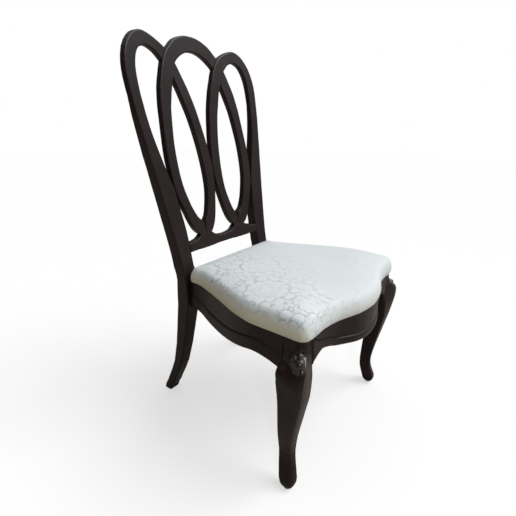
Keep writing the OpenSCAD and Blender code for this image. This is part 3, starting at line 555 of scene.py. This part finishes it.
# the filling presses the cloth outwards, above the band that is pulled round the board
def swellCloth(piece, bandTop):
    look = cushionLook
    for vertex in piece.data.vertices:
        share = smooth01(vertex.co.z, bandTop, bandTop + look["startFade"])
        vertex.co -= vertex.normal * look["start"] * share
    rest = [v.co.copy() for v in piece.data.vertices]
    held = piece.vertex_groups.new(name="held")
    held.add([v.index for v in piece.data.vertices if v.co.z < bandTop], 1.0, "REPLACE")
    cloth = piece.modifiers.new("cloth", "CLOTH")
    cloth.settings.use_pressure = True
    cloth.settings.uniform_pressure_force = look["pressure"]
    cloth.settings.effector_weights.gravity = 0
    cloth.settings.vertex_group_mass = "held"
    cloth.settings.tension_stiffness = look["stiffness"]
    cloth.settings.quality = look["steps"]
    cloth.point_cache.frame_start = 1
    cloth.point_cache.frame_end = look["frames"]
    for number in range(1, look["frames"] + 1):
        scene.frame_set(number)
    applyAll(piece)
    furthest = 0.0
    for vertex, start in zip(piece.data.vertices, rest):
        moved = vertex.co - start
        furthest = max(furthest, moved.length)
        if moved.length > look["swell"]:
            vertex.co = start + moved * (look["swell"] / moved.length)
    scene.frame_set(1)
    print("cushion has swelled by", round(furthest / mm, 1))


# how far the pad stands above the plain form at a place
def fullness(place):
    lift = 0.0
    for (first, most), (last, least) in zip(cushionLook["fuller"], cushionLook["fuller"][1:]):
        if last < place.y <= first:
            lift = most + (least - most) * smooth01(first - place.y, 0, first - last)
    return lift * smooth01(abs(place.x), *cushionLook["fullerAcross"])


# the cloth keeps to the cover's form: close above, and tight round the board
def keepToForm(piece, form, bandTop):
    look = cushionLook
    low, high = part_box("seat_cover")
    for vertex in piece.data.vertices:
        vertex.co.z = max(vertex.co.z, low.z)
        place, normal, _, _ = form.find_nearest(vertex.co)
        off = vertex.co - place
        if off.length > look["allow"]:
            vertex.co = place + off * (look["allow"] / off.length)
        tight = 1 - smooth01(vertex.co.z, bandTop, bandTop + look["bandFade"])
        vertex.co = vertex.co.lerp(place + Vector((normal.x, normal.y, 0)) * look["clear"], tight)
        vertex.co.z = max(vertex.co.z, low.z + look["clearBelow"])
        vertex.co.y = min(vertex.co.y, high.y)
        vertex.co.z += fullness(vertex.co) * smooth01(vertex.co.z, bandTop, high.z - look["roll"])


# takes the facets of the plain form out of the cloth, above its band and most of all on the flat top
def soften(piece, bandTop):
    for name, iterations in cushionLook["softer"].items():
        group = piece.vertex_groups.new(name=name)
        for vertex in piece.data.vertices:
            share = smooth01(vertex.co.z, bandTop, bandTop + cushionLook["softerFade"])
            if name == "top":
                share *= smooth01(vertex.normal.z, *cushionLook["flatTop"])
            group.add([vertex.index], share, "REPLACE")
        smooth(piece, iterations, name)


# underneath, the cloth ends under the board's edge and the dust cover shows
def openUnder(piece):
    sheet = treeOf(nodes["dust_cover"].data)
    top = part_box("dust_cover")[1].z
    for vertex in piece.data.vertices:
        under = vertex.co - Vector((0, 0, cushionLook["underReach"]))
        if vertex.co.z < top and sheet.ray_cast(under, Vector((0, 0, 1)))[0]:
            vertex.co.z = top + cushionLook["underGap"]


def makeCushion():
    piece = coverBody()
    form = treeOf(piece.data)
    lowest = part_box("seat_cover")[0].z
    bandTop = lowest + cushionLook["band"]
    # the body starts deeper than the cover and keepToForm levels it, which leaves a crisp lower edge
    for vertex in piece.data.vertices:
        if vertex.co.z < lowest + cushionLook["bottomHigh"]:
            vertex.co.z -= cushionLook["below"]
    remesh(piece, cushionLook["voxel"])
    smooth(piece, cushionLook["even"])
    swellCloth(piece, bandTop)
    keepToForm(piece, form, bandTop)
    soften(piece, bandTop)
    openUnder(piece)
    return piece


# the lower edge stays sharp under the subdivision
def creaseLowEdge(piece, height):
    work = bmesh.new()
    work.from_mesh(piece.data)
    layer = work.edges.layers.float.get("crease_edge") or work.edges.layers.float.new("crease_edge")
    for edge in work.edges:
        if len(edge.link_faces) == 2 and max(v.co.z for v in edge.verts) < height:
            down = sorted(face.normal.z for face in edge.link_faces)
            if down[0] < -0.9 and down[1] > -0.9:
                edge[layer] = 1.0
    work.to_mesh(piece.data)
    work.free()


cushion = makeCushion()
creaseLowEdge(cushion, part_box("seat_cover")[0].z + cushionLook["lowEdge"])
smoothByAngle(cushion, cushionLook["sharpAngle"])
rounder = cushion.modifiers.new("rounder", "SUBSURF")
rounder.levels = rounder.render_levels = 1


# the cloth's own flat measure: seen from above, carried on down the sides
def laySheet(piece, edgeZ):
    mesh = piece.data
    layer = mesh.uv_layers.new(name="weave")
    flat = []
    for vertex in mesh.vertices:
        drop = max(0.0, edgeZ - vertex.co.z)
        flat.append((vertex.co.x + vertex.normal.x * drop, vertex.co.y + vertex.normal.y * drop))
    for loop in mesh.loops:
        layer.data[loop.index].uv = flat[loop.vertex_index]


laySheet(cushion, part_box("seat_cover")[1].z - cushionLook["roll"])
cushion.data.materials.clear()
cushion.data.materials.append(damask())
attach(cushion, "root")
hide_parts("seat_cover", "seat_foam")
print("cushion made")

# front legs, with the carving on their knees; lengths in millimetres, for the leg on the +x side

knee = {
    "voxel": 1.4,
    "even": 10,
    # the faces that the rails stand against
    "innerX": 223.0,
    "rearY": -223.0,
    "jointLow": 330.0,
    "jointNear": 4.0,
    "squareFade": (1.5, 3),
    "squareFlat": 1.1,
    "sharpNear": 2.4,
    "sharpAngle": 18,
    "boss": (281.0, -271.5, 379.5),
    "bossWide": 10.5,
    "bossTall": 13.5,
    "bossHigh": 8.0,
    "bossGroove": 0.8,
    "bossGrooveWide": 2.2,
    "pearls": 4,
    "pearlRing": 17.0,
    "pearlWide": 5.6,
    "pearlHigh": 4.6,
    "pearlSpread": 75.0,
    "hollow": (290.0, -268.0, 362.0),
    "hollowWide": 19.5,
    "hollowDeep": 2.2,
    "hollowFrom": 1.15,
    "reeds": (411.5, 407.6, 403.8),
    "reedWide": 1.9,
    "reedDeep": 1.8,
    "corner": (266.5, -274.6),
    "columnSide": 18.5,
    "columnFront": 36.0,
    "columnRise": (378.0, 388.0),
    "grooveWide": 2.6,
    "grooveDeep": 2.0,
    "fluteRise": (386.0, 390.0),
    "fluteFall": (400.0, 401.5),
    "fluteStep": 9.2,
    "fluteDeep": 1.1,
    "carvedX": 236.0,
    "flushX": (229.5, 232.5),
    "flushBehind": 10,
    "flushFade": 6,
    "flushOut": 3.8,
    "flushRise": (350.0, 359.0),
    "flushFall": (406.0, 420.0),
    "shoulderX": (252.0, 267.0),
    "shoulderHigh": 354.0,
    "shoulderBelow": 32.0,
    "shoulderAbove": 14.0,
    "shoulderOut": 14.0,
    "shoulderLong": (2, 42.0),
}


# 1 in the middle, 0 from wide on, both ways
def bump01(value, wide):
    value = abs(value) / wide
    return 0.0 if value >= 1 else 0.5 + 0.5 * math.cos(math.pi * value)


# the shoulder under the side rail's end
def shoulder(x, y, z):
    above = z - knee["shoulderHigh"]
    out = bump01(above, knee["shoulderBelow"] if above < 0 else knee["shoulderAbove"])
    along = 1 - smooth01(knee["rearY"] - y, *knee["shoulderLong"])
    return out * smooth01(x, *knee["shoulderX"]) * along * knee["shoulderOut"]


# the face beside the front rail comes out level with it
def flush(x, y, z):
    level = (1 - smooth01(x, *knee["flushX"])) * smooth01(z, *knee["flushRise"])
    ahead = knee["corner"][1] + knee["flushBehind"] - y
    level *= (1 - smooth01(z, *knee["flushFall"])) * smooth01(ahead, 0, knee["flushFade"])
    return level * knee["flushOut"]


# the block above the boss: a groove round it, reeds at its top and flutes below them
def column(x, y, z):
    alongSide, alongFront = y - knee["corner"][1], knee["corner"][0] - x
    edge = max(alongSide - knee["columnSide"], alongFront - knee["columnFront"])
    push = -knee["grooveDeep"] * smooth01(z, *knee["columnRise"]) * bump01(edge, knee["grooveWide"])
    if edge < 0:
        for height in knee["reeds"]:
            push -= knee["reedDeep"] * bump01(z - height, knee["reedWide"])
        window = smooth01(z, *knee["fluteRise"]) * (1 - smooth01(z, *knee["fluteFall"]))
        wave = 0.5 - 0.5 * math.cos(2 * math.pi * (alongSide - alongFront) / knee["fluteStep"])
        push -= knee["fluteDeep"] * window * wave
    return push


def carveKnee(piece, side):
    look = knee
    mesh = piece.data
    mesh.update()
    tree = treeOf(mesh)

    def onLeg(place):
        return tree.find_nearest(Vector((side * place[0], place[1], place[2])) * mm)

    boss, ahead = onLeg(look["boss"])[:2]
    up = (Vector((0, 0, 1)) - ahead * ahead.z).normalized()
    over = ahead.cross(up) * -side
    pearls = []
    for number in range(look["pearls"]):
        angle = math.radians(look["pearlSpread"] * (2 * number / (look["pearls"] - 1) - 1))
        ring = (over * math.cos(angle) + up * math.sin(angle)) * look["pearlRing"] * mm
        pearls.append(tree.find_nearest(boss + ring)[0])
    hollow = onLeg(look["hollow"])[0]
    moves = {}
    for vertex in mesh.vertices:
        x, y, z = side * vertex.co.x / mm, vertex.co.y / mm, vertex.co.z / mm
        out, level = shoulder(x, y, z), flush(x, y, z)
        if level:
            moves[vertex.index] = Vector((0, -level, 0)) * mm
        elif out:
            moves[vertex.index] = Vector((side * out, 0, 0)) * mm
        if z < look["jointLow"] or x < look["carvedX"] or y > -look["carvedX"]:
            continue
        push = 0.0
        away = (vertex.co - boss) / mm
        wide, tall = look["bossWide"], look["bossTall"]
        fromBoss = Vector((away.dot(over) / wide, away.dot(up) / tall, away.dot(ahead) / tall)).length
        if fromBoss < 1:
            push = look["bossHigh"] * math.sqrt(1 - fromBoss ** 2)
        else:
            push -= look["bossGroove"] * bump01((fromBoss - 1) * wide, look["bossGrooveWide"])
        near = min((vertex.co - pearl).length for pearl in pearls) / mm
        if near < look["pearlWide"] and fromBoss >= 1:
            push = look["pearlHigh"] * math.sqrt(1 - (near / look["pearlWide"]) ** 2)
        elif fromBoss >= look["hollowFrom"]:
            push -= look["hollowDeep"] * bump01((vertex.co - hollow).length / mm, look["hollowWide"])
        if fromBoss > 1 and z > look["columnRise"][0]:
            push += column(x, y, z)
        if push:
            moves[vertex.index] = moves.get(vertex.index, Vector()) + vertex.normal * (push * mm)
    for index, move in moves.items():
        mesh.vertices[index].co += move
    mesh.update()


# how far a place is from the nearer of the two faces that the rails stand against, in millimetres
def fromJoints(place):
    return min(abs(abs(place.x) / mm - knee["innerX"]), abs(place.y / mm - knee["rearY"]))


# the even mesh rounds the arrises against the rails, so they go back onto the plain leg's form
def squareJoints(piece, side, node):
    form = treeOf(nodes[node].data)
    for axis, plane in ((0, side * knee["innerX"] * mm), (1, knee["rearY"] * mm)):
        for vertex in piece.data.vertices:
            away = abs(vertex.co[axis] - plane) / mm
            if away < knee["squareFade"][1] and vertex.co.z > knee["jointLow"] * mm:
                place = form.find_nearest(vertex.co)[0]
                vertex.co = vertex.co.lerp(place, 1 - smooth01(away, *knee["squareFade"]))
                if away < knee["squareFlat"]:
                    vertex.co[axis] = plane


# smooth all over but for the arrises against the rails
def sharpenJoints(piece):
    piece.data.polygons.foreach_set("use_smooth", [True] * len(piece.data.polygons))
    work = bmesh.new()
    work.from_mesh(piece.data)
    for edge in work.edges:
        place = (edge.verts[0].co + edge.verts[1].co) / 2
        joint = place.z > knee["jointLow"] * mm and fromJoints(place) < knee["sharpNear"]
        if joint and edge.calc_face_angle(0) > math.radians(knee["sharpAngle"]):
            edge.smooth = False
    work.to_mesh(piece.data)
    work.free()


def makeLeg(side, node):
    piece = copyOf("carved_" + node, node)
    remesh(piece, knee["voxel"] * mm)
    rough = [v.co.copy() for v in piece.data.vertices]
    smooth(piece, knee["even"])
    for vertex, start in zip(piece.data.vertices, rough):
        near = fromJoints(start)
        if start.z > knee["jointLow"] * mm and near < knee["jointNear"]:
            vertex.co = start.lerp(vertex.co, smooth01(near, 1, knee["jointNear"]))
    squareJoints(piece, side, node)
    carveKnee(piece, side)
    sharpenJoints(piece)
    piece.data.materials.clear()
    piece.data.materials.append(carvedWood)
    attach(piece, "root")
    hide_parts(node)


makeLeg(1, "front_leg_right")
makeLeg(-1, "front_leg_left")
print("front legs carved")

# up to which angle the edges of the solids are shown round, and how much larger faces count there
edgeLook = {
    "wood": 38,
    "hardware": 30,
    "largerFaces": 60,
}
for name, piece in nodes.items():
    if slotOf[name] == "ebonised_wood":
        smoothByAngle(piece, edgeLook["wood"])
        shading = piece.modifiers.new("shading", "WEIGHTED_NORMAL")
        shading.keep_sharp = True
        shading.weight = edgeLook["largerFaces"]
    elif slotOf[name] == "steel" or name.endswith("dowels"):
        smoothByAngle(piece, edgeLook["hardware"])


# floor, light and camera

stageLook = {
    "floor": tone(246, 246, 246),
    "bounce": tone(158, 152, 138),
    "reach": 12.0,
    "glow": 0.55,
    "satinShare": 0.08,
    "skyLow": 0.08,
    "skyGain": 0.72,
    "skyRise": (-0.1, 0.95),
    "dimRise": (-0.3, 0.5),
    "dimTone": tone(255, 240, 214),
    "brightSide": (0.50, -0.28, 0.82),
    "keyPower": 2.1,
    "keyFrom": (0.72, -0.90, 1.4),
    "keyAngle": 40.0,
}


# the floor looks white and throws back less light than it shows
def floorMaterial():
    net = newNet("floor")
    seen = net.looked(stageLook["satinShare"])
    colour = net.mix(seen, stageLook["bounce"], stageLook["floor"])
    matte = net.add("ShaderNodeBsdfDiffuse", None, {"Color": colour})
    glow = net.add("ShaderNodeEmission", None, {"Strength": 1.0})
    share = seen * stageLook["glow"]
    return net.finish(net.add("ShaderNodeMixShader", None, {0: share, 1: matte, 2: glow}))


def makeFloor():
    reach = stageLook["reach"]
    mesh = bpy.data.meshes.new("floor")
    mesh.from_pydata([(-reach, -reach, 0), (reach, -reach, 0), (reach, reach, 0), (-reach, reach, 0)],
                     [], [(0, 1, 2, 3)])
    floor = bpy.data.objects.new("floor", mesh)
    floor.data.materials.append(floorMaterial())
    scene.collection.objects.link(floor)


# the room is bright in front, to the right and above, and dim on the left
def makeRoom():
    net = Net(bpy.data.worlds.new("studio"))
    bright = Vector(stageLook["brightSide"]).normalized()
    facing = net.add("ShaderNodeVectorMath", {"operation": "DOT_PRODUCT"},
                     {0: net.add("ShaderNodeTexCoord"), 1: bright}, out="Value")
    room = facing.rise(*stageLook["skyRise"]) * stageLook["skyGain"] + stageLook["skyLow"]
    seen = net.looked(stageLook["satinShare"])
    lit = seen.most(facing.rise(*stageLook["dimRise"]))
    colour = net.mix(lit, stageLook["dimTone"], (1, 1, 1, 1))
    sky = net.add("ShaderNodeBackground", None, {"Color": colour, "Strength": seen + (1 - seen) * room})
    scene.world = net.finish(sky, "ShaderNodeOutputWorld")


# a light that shines from one place towards another
def addLight(name, light, place, toward):
    lamp = bpy.data.objects.new(name, light)
    lamp.location = place
    lamp.rotation_euler = (Vector(place) - Vector(toward)).to_track_quat("Z", "Y").to_euler()
    scene.collection.objects.link(lamp)


makeFloor()
makeRoom()
key = bpy.data.lights.new("key", "SUN")
key.energy = stageLook["keyPower"]
key.angle = math.radians(stageLook["keyAngle"])
addLight("key", key, stageLook["keyFrom"], (0, 0, 0))

# a small window behind the camera, for the bright spots on the carving
windowLook = {
    "place": (-2.15, -1.95, 2.05),
    "toward": (-0.28, -0.27, 0.40),
    "wide": 0.22,
    "tall": 0.90,
    "power": 16.0,
}
window = bpy.data.lights.new("window", "AREA")
window.shape = "RECTANGLE"
window.size = windowLook["wide"]
window.size_y = windowLook["tall"]
window.energy = windowLook["power"]
addLight("window", window, windowLook["place"], windowLook["toward"])

cameraLook = {
    "place": (-0.84151, -0.59227, 0.83726),
    "turn": 52.673,
    "down": 19.33,
    "roll": 0.421,
    "lens": 25.479,
    "sensor": 36,
}
cameraData = bpy.data.cameras.new("camera")
cameraData.lens = cameraLook["lens"]
cameraData.sensor_width = cameraLook["sensor"]
camera = bpy.data.objects.new("camera", cameraData)
camera.matrix_world = Matrix.Translation(cameraLook["place"]) \
    @ Matrix.Rotation(-math.radians(cameraLook["turn"]), 4, "Z") \
    @ Matrix.Rotation(math.radians(90 - cameraLook["down"]), 4, "X") \
    @ Matrix.Rotation(math.radians(cameraLook["roll"]), 4, "Z")
scene.collection.objects.link(camera)
scene.camera = camera
scene.view_settings.view_transform = "Standard"
print("stage is set")
